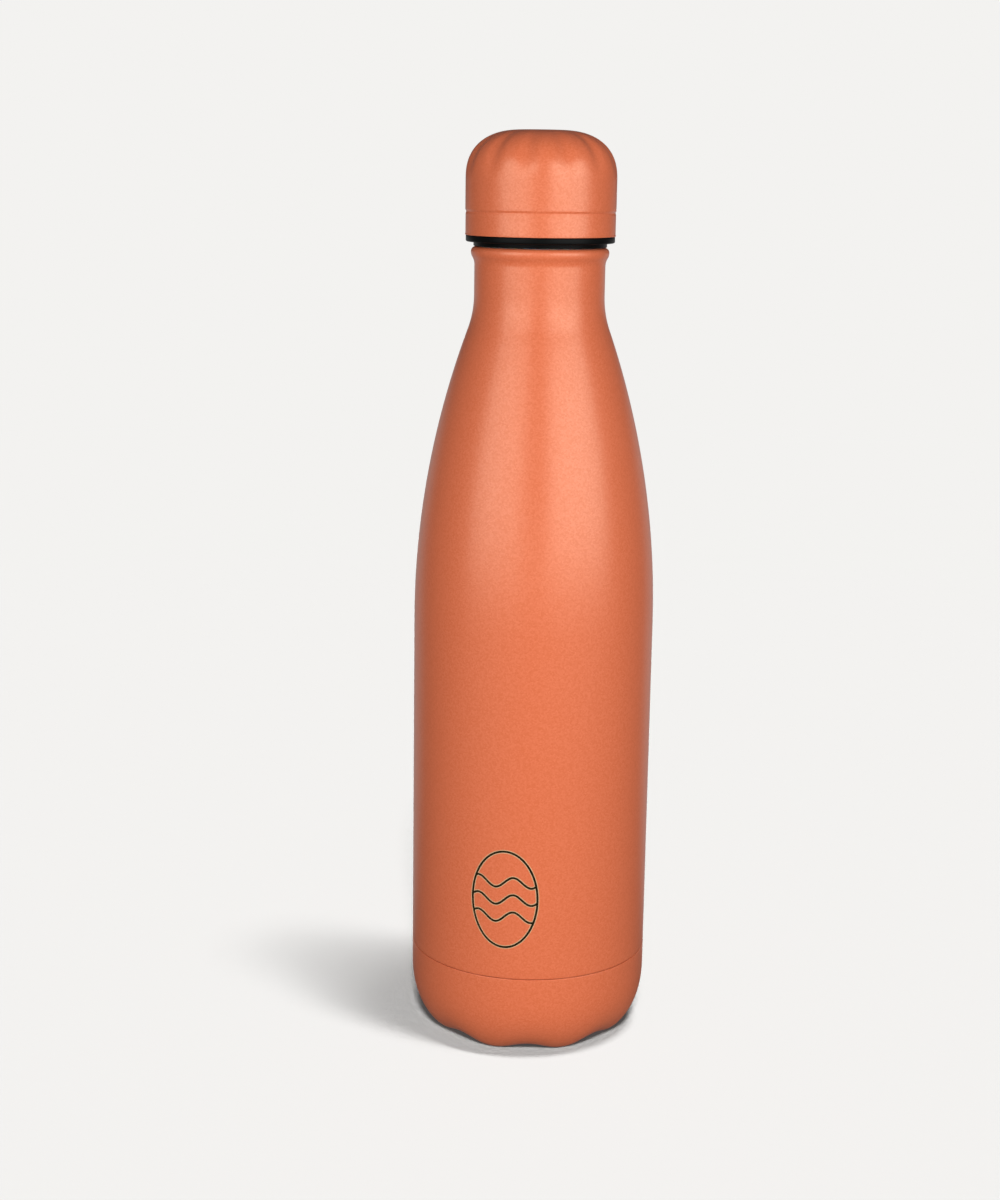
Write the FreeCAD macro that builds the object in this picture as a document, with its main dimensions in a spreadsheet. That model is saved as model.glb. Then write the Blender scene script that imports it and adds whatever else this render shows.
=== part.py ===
import FreeCAD, Part
import math
import os

import Sketcher

# Double-wall vacuum water bottle with a domed screw cap.
# Millimetres, +Z up, origin on the bottle's axis at the surface it stands on.

# ---------------------------------------------------------------- driving dimensions

DIMENSIONS = {
    # outer shell
    "body_radius": (35.0, "outside radius of the straight body"),
    "shell_wall": (0.5, "outer shell sheet"),
    "shoulder_start": (124.25, "height where the straight body ends"),
    "shoulder_radius": (247.0, "long convex arc of the shoulder"),
    "neck_sweep_radius": (28.2, "concave arc that runs into the neck"),
    "neck_radius": (18.57, "outside radius of the neck"),
    "neck_length": (13.6, "straight neck, from the sweep to the rim"),
    "bead_radius": (1.4, "roll of the bead below the rim"),
    "bead_flank": (3.0, "flatter arc of the bead's lower side"),
    "bead_stand": (1.03, "how far the bead stands out of the neck"),
    "bead_fillet": (4.2, "hollow run from the bead into the neck"),
    # lower end of the shell and the base cup
    "seam_height": (25.0, "height of the seam between shell and base cup"),
    "seam_gap": (0.15, "open line between the two painted edges"),
    "joggle_length": (5.4, "stepped-in end of the shell that the base cup slides over"),
    "joggle_clearance": (0.15, "from the end of the step to the base cup's corner"),
    "base_wall": (0.6, "base cup sheet"),
    "base_stand_radius": (27.25, "radius of the ring the bottle stands on"),
    "base_flutes": (8, "soft flutes round the base cup"),
    "base_flute_depth": (2.6, "depth of a flute at the standing ring"),
    "base_dish_radius": (21.0, "radius of the raised middle of the base cup"),
    "base_dish_depth": (2.5, "height of the raised middle"),
    # vacuum side
    "vacuum_gap": (2.5, "vacuum between the body and the flask"),
    "neck_vacuum_gap": (1.17, "vacuum between the neck and the flask's neck"),
    "plate_wall": (0.5, "vacuum bottom plate sheet"),
    "plate_inset": (0.4, "plate above the end of the shell"),
    "plate_rim": (3.0, "welded rim of the plate"),
    "dimple_radius": (6.0, "raised middle of the plate round the pump-out hole"),
    "dimple_rise": (1.5, "how far the plate's middle is raised"),
    "pump_hole_radius": (1.2, "pump-out hole"),
    "bead_of_glass_radius": (3.4, "glass solder that closes the pump-out hole"),
    "bottom_gap": (5.5, "vacuum between the plate and the flask's bottom"),
    # inner flask
    "liner_wall": (0.5, "inner flask sheet"),
    "floor_corner": (4.0, "corner radius of the flask's bottom"),
    "foil_thickness": (0.15, "copper radiation shield"),
    "getter_radius": (3.9, "getter tablet"),
    "getter_thickness": (1.6, "getter tablet"),
    "clip_wall": (0.3, "getter clip sheet"),
    "clip_flange": (2.2, "welded flange of the getter clip"),
    # screw thread
    "thread_pitch": (4.0, "rise in one turn"),
    "thread_turns": (2.0, "turns of each ridge"),
    "thread_start_depth": (12.3, "first turn of the neck's ridge, below the rim"),
    "thread_height": (0.9, "how far a ridge stands out"),
    "thread_root": (1.4, "width of a ridge at its foot"),
    "thread_crest": (0.8, "width of a ridge at its top"),
    "thread_clearance": (0.3, "ridge to the facing wall"),
    "thread_sink": (0.2, "foot of a ridge buried in its wall"),
    # seal
    "rim_gap": (0.3, "rim to the plug's shoulder"),
    "seal_thickness": (1.6, "silicone ring"),
    "seal_lip": (0.5, "seal's edge to the shoulder's edge"),
    "seal_clearance": (0.1, "seal in its seat"),
    "seal_bore_clearance": (0.4, "seal round the plug"),
    # plug
    "plug_length": (25.5, "from the rim down to the end cap's seat"),
    "plug_wall": (2.0, "plug tube wall"),
    "shoulder_overhang": (0.33, "plug's shoulder beyond the neck"),
    "shoulder_height": (1.2, "black band below the flange"),
    "flange_thickness": (1.7, "flange under the dome"),
    "flange_inset": (0.2, "flange edge inside the dome's edge"),
    "collar_height": (8.3, "collar pressed into the dome"),
    "collar_wall": (1.8, "collar thickness"),
    "web_thickness": (1.8, "web between collar and tube"),
    "deck_rise": (10.3, "top of the plug above the flange"),
    "deck_wall": (2.0, "plug's closed top"),
    "end_cap_insert": (2.0, "end cap inside the tube"),
    "end_cap_flange": (1.2, "end cap below the tube"),
    "foam_clearance": (0.2, "foam puck in the tube"),
    # dome
    "cap_overhang": (2.73, "dome radius beyond the neck radius"),
    "cap_wall": (0.5, "dome sheet"),
    "step_height": (6.5, "height of the fine step above the flange"),
    "step_depth": (0.15, "depth of the fine step"),
    "skirt_height": (15.63, "straight side of the dome"),
    "crown_height": (13.45, "rounded crown of the dome"),
    "crown_flat_radius": (5.1, "flat middle of the crown"),
    "crown_flutes": (12, "soft creases round the crown"),
    "crown_flute_depth": (0.5, "depth of a crease"),
}

CREASE_TURN = 18.0  # degrees from +X to the first crease of the crown
BASE_TURN = 0.0  # degrees from +X to the first flute of the base
BASE_POWERS = (1.6, 0.74)  # roundness of the base corner, outwards and upwards
BASE_FADE = 1.85  # how quickly a base flute fades up the corner
BASE_SHARPNESS = 1.2  # a higher power makes a flute narrower
CROWN_POWER = 0.84  # roundness of the crown
CREASE_SHARPNESS = 3
NO_FLUTE = 1e-6
POINTS_PER_FLUTE = 8
SECTIONS = 9
SEW_TOLERANCE = 0.002
AXIS = FreeCAD.Vector(0, 0, 1)

doc = FreeCAD.newDocument("water_bottle")
sheet = doc.addObject("Spreadsheet::Sheet", "dims")
for row, (name, (size, note)) in enumerate(DIMENSIONS.items(), start=1):
    sheet.set(f"A{row}", note)
    sheet.set(f"B{row}", str(size))
    sheet.setAlias(f"B{row}", name)
doc.recompute()

# ---------------------------------------------------------------- worked-out sizes
# Each is an expression on the sheet, so a changed size carries through every piece.


def shoulder_line(body_radius, neck_radius, wall):
    """Where the two shoulder arcs meet each other and the neck, a wall inside the outline."""
    sweep = "(dims.shoulder_radius + dims.neck_sweep_radius)"
    lean = f"acos(1 - ({body_radius} - {neck_radius}) / {sweep})"
    convex = f"(dims.shoulder_radius - {wall})"
    concave = f"(dims.neck_sweep_radius + {wall})"
    return {
        "convex": convex,
        "concave": concave,
        "meet_r": f"({body_radius} - {wall} - {convex} * (1 - cos({lean})))",
        "meet_z": f"(dims.shoulder_start + {convex} * sin({lean}))",
        "neck_z": f"(dims.shoulder_start + {sweep} * sin({lean}))",
    }


SHELL_IN = "(dims.body_radius - dims.shell_wall)"
NECK_IN = "(dims.neck_radius - dims.shell_wall)"
JOGGLE_OUT = "(dims.body_radius - dims.base_wall)"
JOGGLE_IN = f"({JOGGLE_OUT} - dims.shell_wall)"
JOGGLE_END = "(dims.seam_height - dims.joggle_length)"
BASE_CORNER = f"({JOGGLE_END} - dims.joggle_clearance)"

FLASK_OUT = f"({SHELL_IN} - dims.vacuum_gap)"
FLASK_IN = f"({FLASK_OUT} - dims.liner_wall)"
FLASK_NECK_OUT = f"({NECK_IN} - dims.neck_vacuum_gap)"
BORE = f"({FLASK_NECK_OUT} - dims.liner_wall)"

SHELL_OUTLINE = shoulder_line("dims.body_radius", "dims.neck_radius", "0")
SHELL_INLINE = shoulder_line("dims.body_radius", "dims.neck_radius", "dims.shell_wall")
FLASK_OUTLINE = shoulder_line(FLASK_OUT, FLASK_NECK_OUT, "0")
FLASK_INLINE = shoulder_line(FLASK_OUT, FLASK_NECK_OUT, "dims.liner_wall")
RIM = f"({SHELL_OUTLINE['neck_z']} + dims.neck_length)"

PLATE_BOTTOM = f"({JOGGLE_END} + dims.plate_inset)"
PLATE_TOP = f"({PLATE_BOTTOM} + dims.plate_wall)"
FLOOR_BOTTOM = f"({PLATE_TOP} + dims.bottom_gap)"
FLASK_WELD = f"({FLOOR_BOTTOM} + dims.floor_corner)"

CORE = f"({BORE} - dims.thread_clearance - dims.thread_height)"
PLUG_IN = f"({CORE} - dims.plug_wall)"
PLUG_BOTTOM = f"({RIM} - dims.plug_length)"
SEAL_TOP = f"({RIM} + dims.seal_thickness)"
PLUG_SHOULDER = "(dims.neck_radius + dims.shoulder_overhang)"
SEAL_OUT = f"({PLUG_SHOULDER} - dims.seal_lip)"
SEAL_IN = f"({CORE} + dims.seal_bore_clearance)"
SHOULDER_BOTTOM = f"({RIM} + dims.rim_gap)"
FLANGE_BOTTOM = f"({SHOULDER_BOTTOM} + dims.shoulder_height)"
FLANGE_TOP = f"({FLANGE_BOTTOM} + dims.flange_thickness)"
DECK_TOP = f"({FLANGE_TOP} + dims.deck_rise)"
DECK_BOTTOM = f"({DECK_TOP} - dims.deck_wall)"

DOME_OUT = "(dims.neck_radius + dims.cap_overhang)"
DOME_LOWER = f"({DOME_OUT} - dims.step_depth)"
DOME_IN = f"({DOME_LOWER} - dims.cap_wall)"
FLANGE_OUT = f"({DOME_OUT} - dims.flange_inset)"
CROWN_START = f"({FLANGE_TOP} + dims.skirt_height)"


def size_of(expression):
    """The number that an expression on the sheet gives now."""
    worked_out = sheet.evalExpression(expression)
    return float(getattr(worked_out, "Value", worked_out))


# ---------------------------------------------------------------- ways to make a piece


def plane_of(body, role):
    return next(f for f in body.Origin.OriginFeatures if f.Role == role)


def arc_edge(start, end, radius, bulge):
    """An arc from start to end, bulging to the left (+1) or the right (-1) of the way there."""
    chord = end - start
    middle = (start + end) * 0.5
    left = FreeCAD.Vector(-chord.y, chord.x, 0).normalize()
    rise = math.sqrt(max(radius**2 - (chord.Length / 2) ** 2, 0))
    centre = middle - left * (rise * bulge)
    first, last = (end, start) if bulge > 0 else (start, end)
    angles = [math.atan2(p.y - centre.y, p.x - centre.x) for p in (first, last)]
    circle = Part.Circle(centre, AXIS, radius)
    return Part.ArcOfCircle(circle, angles[0], angles[1])


def outline_sketch(body, name, outline):
    """A closed outline in the XZ plane. Each step is (radius, height) at the start of a
    straight edge, or (radius, height, arc radius, bulge) at the start of an arc."""
    sketch = body.newObject("Sketcher::SketchObject", name)
    sketch.AttachmentSupport = [(plane_of(body, "XZ_Plane"), "")]
    sketch.MapMode = "FlatFace"
    corners = [FreeCAD.Vector(size_of(step[0]), size_of(step[1]), 0) for step in outline]
    ends = []
    for index, step in enumerate(outline):
        start = corners[index]
        end = corners[(index + 1) % len(corners)]
        if len(step) == 2:
            sketch.addGeometry(Part.LineSegment(start, end))
            ends.append((1, 2))
        else:
            sketch.addGeometry(arc_edge(start, end, size_of(step[2]), step[3]))
            ends.append((2, 1) if step[3] > 0 else (1, 2))
            number = sketch.addConstraint(Sketcher.Constraint("Radius", index, size_of(step[2])))
            sketch.setExpression(f"Constraints[{number}]", step[2])
    for index, step in enumerate(outline):
        following = (index + 1) % len(outline)
        sketch.addConstraint(
            Sketcher.Constraint("Coincident", index, ends[index][1], following, ends[following][0])
        )
        for axis, expression, own_axis in (("DistanceX", step[0], -2), ("DistanceY", step[1], -1)):
            if expression == "0":
                sketch.addConstraint(
                    Sketcher.Constraint("PointOnObject", index, ends[index][0], own_axis)
                )
                continue
            place = size_of(expression)
            number = sketch.addConstraint(
                Sketcher.Constraint(axis, -1, 1, index, ends[index][0], place)
            )
            sketch.setExpression(f"Constraints[{number}]", expression)
    return sketch


def turned(name, outline):
    """A piece of revolution about the bottle's axis."""
    body = doc.addObject("PartDesign::Body", name)
    body.Label = name
    sketch = outline_sketch(body, f"{name}_outline", outline)
    turn = body.newObject("PartDesign::Revolution", f"{name}_turn")
    turn.Profile = sketch
    turn.ReferenceAxis = (sketch, ["V_Axis"])
    turn.Angle = 360.0
    body.Tip = turn
    doc.recompute()
    return body


def add_thread(body, wall, outwards, first_turn):
    """A right-hand ridge on a wall, standing out from the axis or in towards it."""
    sign = "+" if outwards else "-"
    back = "-" if outwards else "+"
    foot = f"({wall} {back} dims.thread_sink)"
    crest = f"({wall} {sign} dims.thread_height)"
    outline = [
        (foot, f"({first_turn} - dims.thread_root / 2)"),
        (crest, f"({first_turn} - dims.thread_crest / 2)"),
        (crest, f"({first_turn} + dims.thread_crest / 2)"),
        (foot, f"({first_turn} + dims.thread_root / 2)"),
    ]
    sketch = outline_sketch(body, f"{body.Name}_ridge", outline)
    ridge = body.newObject("PartDesign::AdditiveHelix", f"{body.Name}_thread")
    ridge.Profile = sketch
    ridge.ReferenceAxis = (sketch, ["V_Axis"])
    ridge.Mode = "pitch-height-angle"
    ridge.setExpression("Pitch", "dims.thread_pitch")
    ridge.setExpression("Height", "dims.thread_pitch * dims.thread_turns")
    body.Tip = ridge
    doc.recompute()


def level_circle(radius, height):
    return Part.Wire([Part.Circle(FreeCAD.Vector(0, 0, height), AXIS, radius).toShape()])


def fluted_ring(radius, height, flutes, depth, turn, sharpness):
    """A closed level curve of one radius with soft flutes pressed into it."""
    if depth < NO_FLUTE:
        return level_circle(radius, height)
    count = int(flutes) * POINTS_PER_FLUTE
    points = []
    for index in range(count):
        angle = 2 * math.pi * index / count
        wave = 0.5 + 0.5 * math.cos(flutes * (angle - math.radians(turn)))
        r = radius - depth * wave**sharpness
        points.append(FreeCAD.Vector(r * math.cos(angle), r * math.sin(angle), height))
    curve = Part.BSplineCurve()
    curve.interpolate(points, PeriodicFlag=True)
    return Part.Wire([curve.toShape()])


def corner_angles():
    """Steps round a corner, closer together near both ends."""
    return [math.pi / 4 * (1 - math.cos(math.pi * k / (SECTIONS - 1))) for k in range(SECTIONS)]


def base_corner_rings(inset):
    """Level curves of the base cup's lobed corner, a sheet's thickness smaller where inset."""
    body_radius = size_of("dims.body_radius") - inset
    stand = size_of("dims.base_stand_radius") - inset
    top = size_of(BASE_CORNER)
    flutes = size_of("dims.base_flutes")
    deepest = size_of("dims.base_flute_depth")
    rings = []
    for angle in corner_angles():
        radius = stand + (body_radius - stand) * math.cos(angle) ** BASE_POWERS[0]
        height = inset + (top - inset) * (1 - math.sin(angle) ** BASE_POWERS[1])
        depth = deepest * (angle / (math.pi / 2)) ** BASE_FADE
        rings.append(fluted_ring(radius, height, flutes, depth, BASE_TURN, BASE_SHARPNESS))
    return rings


def crown_rings(inset):
    """Level curves of the dome's creased crown, a sheet's thickness smaller where inset."""
    outside = size_of(DOME_OUT) - inset
    flat = size_of("dims.crown_flat_radius") - inset
    start = size_of(CROWN_START)
    rise = size_of("dims.crown_height") - inset
    flutes = size_of("dims.crown_flutes")
    deepest = size_of("dims.crown_flute_depth")
    rings = []
    for angle in corner_angles():
        radius = flat + (outside - flat) * math.cos(angle) ** CROWN_POWER
        height = start + rise * math.sin(angle) ** CROWN_POWER
        depth = deepest * math.sin(2 * angle)
        rings.append(fluted_ring(radius, height, flutes, depth, CREASE_TURN, CREASE_SHARPNESS))
    return rings


def side(low_radius, low, high_radius, high):
    """The wall between two circles on the axis: a cylinder, or a cone."""
    line = Part.makeLine(FreeCAD.Vector(low_radius, 0, low), FreeCAD.Vector(high_radius, 0, high))
    return line.revolve(FreeCAD.Vector(0, 0, 0), AXIS, 360).Faces


def level_face(*wires):
    """A level face inside one closed curve, or between two."""
    return Part.makeFace(list(wires), "Part::FaceMakerBullseye").Faces


def sewn_solid(faces):
    """One solid from the faces that bound it."""
    skin = Part.makeCompound(faces)
    skin.sewShape(SEW_TOLERANCE)
    solid = Part.Solid(Part.Shell(skin.Faces))
    if solid.Volume < 0:
        solid.reverse()
    return solid


def shaped(name, shape):
    """A piece whose surface no sketch can give, put in the document under its own name."""
    feature = doc.addObject("Part::Feature", name)
    feature.Label = name
    feature.Shape = shape
    feature.Placement = FreeCAD.Placement()
    return feature


# ---------------------------------------------------------------- the bottle


def make_outer_shell():
    bead_out = "(dims.neck_radius + dims.bead_stand)"
    bead_r = f"({bead_out} - dims.bead_radius)"
    bead_z = f"({RIM} - dims.bead_radius)"
    flank_r = f"({bead_out} - dims.bead_flank)"
    run_r = "(dims.neck_radius + dims.bead_fillet)"
    reach = "(dims.bead_flank + dims.bead_fillet)"
    drop = f"sqrt({reach}^2 - ({run_r} - {flank_r})^2)"
    foot = f"({bead_z} - {drop})"
    inner_roll = "(dims.bead_radius - dims.shell_wall)"
    inner_flank = "(dims.bead_flank - dims.shell_wall)"

    def flank_foot(flank):
        """Where the bead's lower side meets the hollow run below it."""
        share = f"({flank} / {reach})"
        return f"({flank_r} + ({run_r} - {flank_r}) * {share})", f"({bead_z} - {drop} * {share})"

    outside, inside = SHELL_OUTLINE, SHELL_INLINE
    outline = [
        (JOGGLE_OUT, JOGGLE_END),
        (JOGGLE_OUT, "dims.seam_height"),
        ("dims.body_radius", "dims.seam_height"),
        ("dims.body_radius", "dims.shoulder_start", outside["convex"], -1),
        (outside["meet_r"], outside["meet_z"], outside["concave"], 1),
        ("dims.neck_radius", outside["neck_z"]),
        ("dims.neck_radius", foot, "dims.bead_fillet", 1),
        (*flank_foot("dims.bead_flank"), "dims.bead_flank", -1),
        (bead_out, bead_z, "dims.bead_radius", -1),
        (bead_r, RIM),
        (FLASK_NECK_OUT, RIM),
        (FLASK_NECK_OUT, f"({RIM} - dims.shell_wall)"),
        (bead_r, f"({RIM} - dims.shell_wall)", inner_roll, 1),
        (f"({bead_out} - dims.shell_wall)", bead_z, inner_flank, 1),
        (*flank_foot(inner_flank), "(dims.bead_fillet + dims.shell_wall)", -1),
        (NECK_IN, foot),
        (NECK_IN, inside["neck_z"], inside["concave"], -1),
        (inside["meet_r"], inside["meet_z"], inside["convex"], 1),
        (SHELL_IN, "dims.shoulder_start"),
        (SHELL_IN, "(dims.seam_height + dims.shell_wall)"),
        (JOGGLE_IN, "(dims.seam_height + dims.shell_wall)"),
        (JOGGLE_IN, JOGGLE_END),
    ]
    return turned("outer_shell", outline)


def make_base_cup():
    corner = size_of(BASE_CORNER)
    top = size_of("dims.seam_height - dims.seam_gap")
    wall = size_of("dims.base_wall")
    dish_rise = size_of("dims.base_dish_depth")
    faces = level_face(
        level_circle(size_of("dims.body_radius"), top), level_circle(size_of(JOGGLE_OUT), top)
    )
    for inset, radius in ((0, size_of("dims.body_radius")), (wall, size_of(JOGGLE_OUT))):
        rings = base_corner_rings(inset)
        dish = size_of("dims.base_dish_radius") + inset
        faces += side(radius, corner, radius, top)
        faces += Part.makeLoft(rings, False).Faces
        faces += level_face(rings[-1], level_circle(dish, inset))
        faces += side(dish, inset, dish - dish_rise, inset + dish_rise)
        faces += level_face(level_circle(dish - dish_rise, inset + dish_rise))
    return shaped("base_cup", sewn_solid(faces))


def make_vacuum_bottom():
    raised_bottom = f"({PLATE_BOTTOM} + dims.dimple_rise)"
    raised_top = f"({PLATE_TOP} + dims.dimple_rise)"
    rim_top = f"({PLATE_BOTTOM} + dims.plate_rim)"
    slope_foot = "(dims.dimple_radius + dims.dimple_rise)"
    outline = [
        ("dims.pump_hole_radius", raised_bottom),
        ("dims.dimple_radius", raised_bottom),
        (slope_foot, PLATE_BOTTOM),
        (JOGGLE_IN, PLATE_BOTTOM),
        (JOGGLE_IN, rim_top),
        (f"({JOGGLE_IN} - dims.plate_wall)", rim_top),
        (f"({JOGGLE_IN} - dims.plate_wall)", PLATE_TOP),
        (slope_foot, PLATE_TOP),
        ("dims.dimple_radius", raised_top),
        ("dims.pump_hole_radius", raised_top),
    ]
    return turned("vacuum_bottom", outline)


def make_sealing_bead():
    face = f"({PLATE_BOTTOM} + dims.dimple_rise)"
    outline = [
        ("0", f"({face} + dims.plate_wall)"),
        ("0", f"({face} - dims.dimple_rise / 2)"),
        ("(dims.bead_of_glass_radius / 2)", f"({face} - dims.dimple_rise / 2)"),
        ("dims.bead_of_glass_radius", face),
        ("dims.pump_hole_radius", face),
        ("dims.pump_hole_radius", f"({face} + dims.plate_wall)"),
    ]
    return turned("sealing_bead", outline)


def make_inner_flask():
    outside, inside = FLASK_OUTLINE, FLASK_INLINE
    outline = [
        (FLASK_OUT, FLASK_WELD),
        (FLASK_OUT, "dims.shoulder_start", outside["convex"], -1),
        (outside["meet_r"], outside["meet_z"], outside["concave"], 1),
        (FLASK_NECK_OUT, outside["neck_z"]),
        (FLASK_NECK_OUT, RIM),
        (BORE, RIM),
        (BORE, inside["neck_z"], inside["concave"], -1),
        (inside["meet_r"], inside["meet_z"], inside["convex"], 1),
        (FLASK_IN, "dims.shoulder_start"),
        (FLASK_IN, FLASK_WELD),
    ]
    body = turned("inner_flask", outline)
    add_thread(body, BORE, False, f"({RIM} - dims.thread_start_depth)")
    return body


def make_inner_flask_bottom():
    outline = [
        ("0", FLOOR_BOTTOM),
        (f"({FLASK_OUT} - dims.floor_corner)", FLOOR_BOTTOM, "dims.floor_corner", -1),
        (FLASK_OUT, FLASK_WELD),
        (FLASK_IN, FLASK_WELD, "(dims.floor_corner - dims.liner_wall)", 1),
        (f"({FLASK_OUT} - dims.floor_corner)", f"({FLOOR_BOTTOM} + dims.liner_wall)"),
        ("0", f"({FLOOR_BOTTOM} + dims.liner_wall)"),
    ]
    return turned("inner_flask_bottom", outline)


def make_copper_foil():
    outside = f"({FLASK_OUT} + dims.foil_thickness)"
    outline = [
        (FLASK_OUT, FLASK_WELD),
        (outside, FLASK_WELD),
        (outside, "dims.shoulder_start"),
        (FLASK_OUT, "dims.shoulder_start"),
    ]
    return turned("copper_foil", outline)


def make_getter():
    tray_top = f"({FLOOR_BOTTOM} - dims.clip_wall)"
    tablet_bottom = f"({tray_top} - dims.getter_thickness)"
    clip_bottom = f"({tablet_bottom} - dims.clip_wall)"
    clip_out = "(dims.getter_radius + dims.clip_wall)"
    tablet = [
        ("0", tablet_bottom),
        ("dims.getter_radius", tablet_bottom),
        ("dims.getter_radius", tray_top),
        ("0", tray_top),
    ]
    clip = [
        ("(dims.getter_radius / 2)", clip_bottom),
        (clip_out, clip_bottom),
        (clip_out, tray_top),
        (f"({clip_out} + dims.clip_flange)", tray_top),
        (f"({clip_out} + dims.clip_flange)", FLOOR_BOTTOM),
        ("dims.getter_radius", FLOOR_BOTTOM),
        ("dims.getter_radius", tablet_bottom),
        ("(dims.getter_radius / 2)", tablet_bottom),
    ]
    return [turned("getter_tablet", tablet), turned("getter_clip", clip)]


# ---------------------------------------------------------------- the seal and the cap


def make_cap_seal():
    outline = [
        (SEAL_IN, RIM),
        (SEAL_OUT, RIM),
        (SEAL_OUT, SEAL_TOP),
        (SEAL_IN, SEAL_TOP),
    ]
    return turned("cap_seal", outline)


def make_cap_plug():
    seat_out = f"({SEAL_OUT} + dims.seal_clearance)"
    collar_top = f"({FLANGE_TOP} + dims.collar_height)"
    collar_in = f"({DOME_IN} - dims.collar_wall)"
    web_top = f"({FLANGE_TOP} + dims.web_thickness)"
    outline = [
        (PLUG_IN, PLUG_BOTTOM),
        (CORE, PLUG_BOTTOM),
        (CORE, SEAL_TOP),
        (seat_out, SEAL_TOP),
        (seat_out, SHOULDER_BOTTOM),
        (PLUG_SHOULDER, SHOULDER_BOTTOM),
        (PLUG_SHOULDER, FLANGE_BOTTOM),
        (FLANGE_OUT, FLANGE_BOTTOM),
        (FLANGE_OUT, FLANGE_TOP),
        (DOME_IN, FLANGE_TOP),
        (DOME_IN, collar_top),
        (collar_in, collar_top),
        (collar_in, web_top),
        (CORE, web_top),
        (CORE, DECK_TOP),
        ("0", DECK_TOP),
        ("0", DECK_BOTTOM),
        (PLUG_IN, DECK_BOTTOM),
    ]
    body = turned("cap_plug", outline)
    first_turn = f"({RIM} - dims.thread_start_depth + dims.thread_pitch / 2)"
    add_thread(body, CORE, True, first_turn)
    return body


def make_plug_end_cap():
    outline = [
        ("0", f"({PLUG_BOTTOM} - dims.end_cap_flange)"),
        (CORE, f"({PLUG_BOTTOM} - dims.end_cap_flange)"),
        (CORE, PLUG_BOTTOM),
        (PLUG_IN, PLUG_BOTTOM),
        (PLUG_IN, f"({PLUG_BOTTOM} + dims.end_cap_insert)"),
        ("0", f"({PLUG_BOTTOM} + dims.end_cap_insert)"),
    ]
    return turned("plug_end_cap", outline)


def make_cap_foam():
    low = f"({PLUG_BOTTOM} + dims.end_cap_insert)"
    high = f"({DECK_BOTTOM} - dims.foam_clearance)"
    outside = f"({PLUG_IN} - dims.foam_clearance)"
    return turned("cap_foam", [("0", low), (outside, low), (outside, high), ("0", high)])


def make_cap_dome():
    low = size_of(FLANGE_TOP)
    step = size_of(f"{FLANGE_TOP} + dims.step_height")
    start = size_of(CROWN_START)
    outside, below_step, inside = (size_of(r) for r in (DOME_OUT, DOME_LOWER, DOME_IN))
    faces = level_face(level_circle(below_step, low), level_circle(inside, low))
    faces += level_face(level_circle(outside, step), level_circle(below_step, step))
    faces += side(below_step, low, below_step, step)
    faces += side(outside, step, outside, start)
    faces += side(inside, low, inside, start)
    for inset in (0, outside - inside):
        rings = crown_rings(inset)
        faces += Part.makeLoft(rings, False).Faces
        faces += level_face(rings[-1])
    return shaped("cap_dome", sewn_solid(faces))


# ---------------------------------------------------------------- build, check and write

pieces = [
    make_outer_shell(),
    make_base_cup(),
    make_vacuum_bottom(),
    make_sealing_bead(),
    make_inner_flask(),
    make_inner_flask_bottom(),
    make_copper_foil(),
    *make_getter(),
    make_cap_seal(),
    make_cap_plug(),
    make_plug_end_cap(),
    make_cap_foam(),
    make_cap_dome(),
]
doc.recompute()

for item in doc.Objects:
    faults = {"Invalid", "Error"} & set(item.State)
    if faults:
        raise RuntimeError(f"{item.Label}: {', '.join(faults)}")
for piece in pieces:
    if piece.Shape.isNull() or not piece.Shape.isValid() or not piece.Shape.Solids:
        raise RuntimeError(f"{piece.Label} has no valid solid")

os.makedirs("parts", exist_ok=True)
for piece in pieces:
    piece.Shape.exportStep(f"parts/{piece.Label}.step")
    box = piece.Shape.BoundBox
    print(
        f"{piece.Label:20s} solids {len(piece.Shape.Solids)}  volume {piece.Shape.Volume:10.1f}"
        f"  r {box.XMax:6.2f}  z {box.ZMin:7.2f} to {box.ZMax:7.2f}"
    )
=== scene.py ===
import logging
import math
from dataclasses import dataclass, field
from enum import Enum
from typing import Callable

import bpy
from mathutils import Matrix, Vector


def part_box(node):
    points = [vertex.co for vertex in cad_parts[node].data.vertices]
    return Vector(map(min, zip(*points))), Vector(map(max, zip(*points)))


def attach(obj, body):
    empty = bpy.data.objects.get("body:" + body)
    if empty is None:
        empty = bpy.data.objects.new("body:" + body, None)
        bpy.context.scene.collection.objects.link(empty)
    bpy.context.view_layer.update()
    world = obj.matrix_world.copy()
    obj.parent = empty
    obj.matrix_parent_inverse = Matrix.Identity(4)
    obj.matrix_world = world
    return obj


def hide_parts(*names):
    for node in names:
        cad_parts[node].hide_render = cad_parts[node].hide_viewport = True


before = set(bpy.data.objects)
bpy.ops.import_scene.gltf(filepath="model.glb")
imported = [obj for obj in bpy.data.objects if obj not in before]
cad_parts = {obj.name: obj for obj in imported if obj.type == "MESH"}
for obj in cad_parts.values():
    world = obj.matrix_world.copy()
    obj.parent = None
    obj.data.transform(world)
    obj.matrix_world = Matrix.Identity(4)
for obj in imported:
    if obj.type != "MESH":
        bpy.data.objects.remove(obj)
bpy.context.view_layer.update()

MM = 0.001
SEGMENTS = 192
FULL_TURN = 2 * math.pi

log = logging.getLogger("water_bottle")


class Body(Enum):
    """The rigid bodies that the pieces ride on."""

    BOTTLE = "bottle"
    SEAL = "seal"
    CAP = "cap"


class Slot(Enum):
    """The record's material slots."""

    PAINT = "copper_paint"
    STEEL = "steel"
    GLASS = "glass_solder"
    FOIL = "copper_foil"
    GETTER = "getter"
    SILICONE = "silicone"
    PLASTIC = "black_plastic"
    FOAM = "foam"


# ---------------------------------------------------------------- turned and pressed meshes


@dataclass(frozen=True)
class Station:
    """One point of a cross-section, in millimetres.

    press says how much of a piece's relief reaches this point, from 0 to 1.
    """

    r: float
    z: float
    press: float = 0.0


Relief = Callable[[Station, float], tuple[float, float]]


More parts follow.
